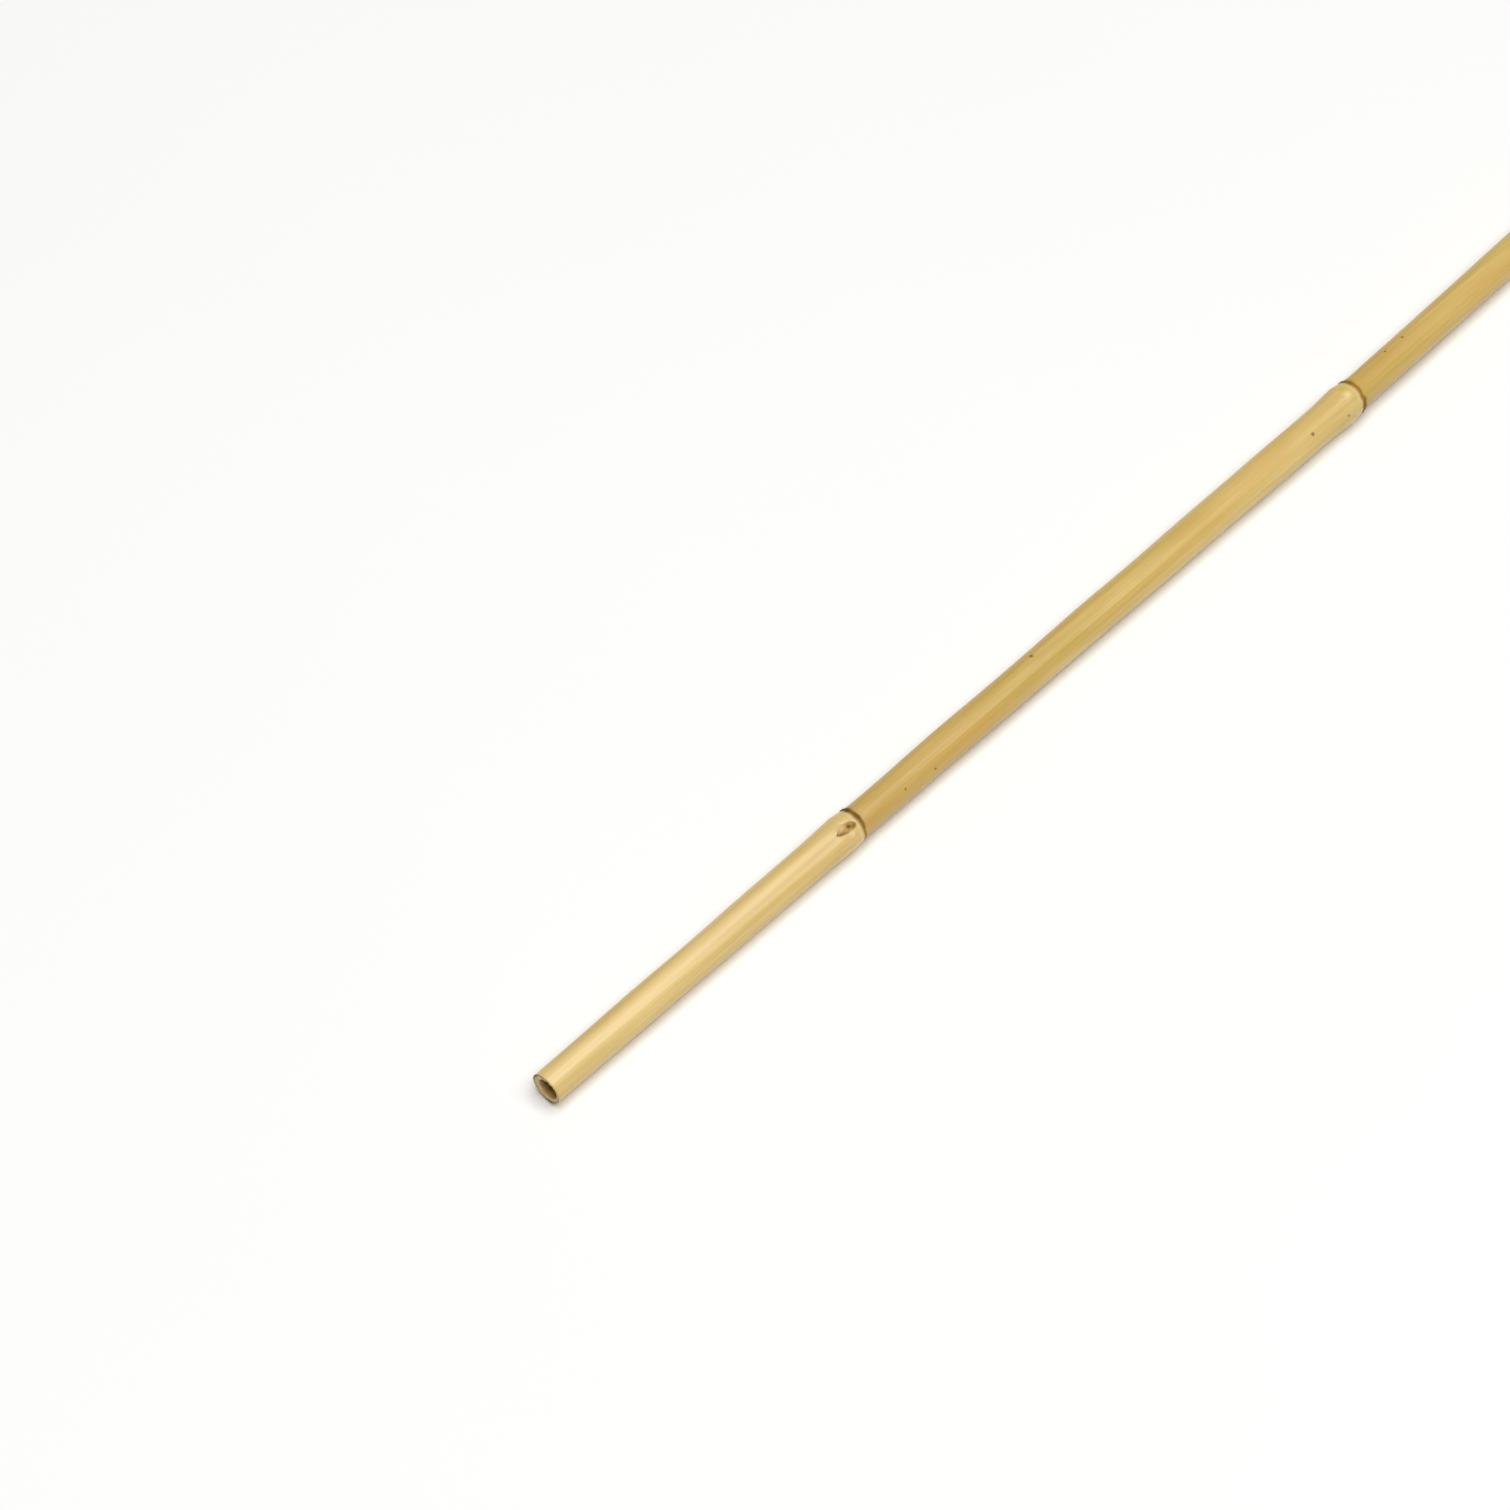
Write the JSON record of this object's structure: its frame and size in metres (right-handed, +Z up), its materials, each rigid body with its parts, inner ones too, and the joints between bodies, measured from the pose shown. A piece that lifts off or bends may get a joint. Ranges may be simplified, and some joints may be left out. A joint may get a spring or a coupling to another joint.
{
  "type": "bamboo cane",
  "caption": "Natural bamboo garden cane lying on its side: a slender tapered culm with swollen nodes, dark sheath scars, bud scars and hollow, square-sawn ends.",
  "frame": {"origin": "middle of the cane's underside, at the level that its nodes rest on", "axes": "+X along the cane from the thin tip end to the thick butt end; +Y sideways; +Z up"},
  "size_m": [0.9, 0.0192, 0.0133],
  "materials": {
    "bamboo": "semi-gloss dried culm skin, dull sawn ends"
  },
  "bodies": {
    "root": {"bamboo_cane": "bamboo"}
  },
  "joints": []
}
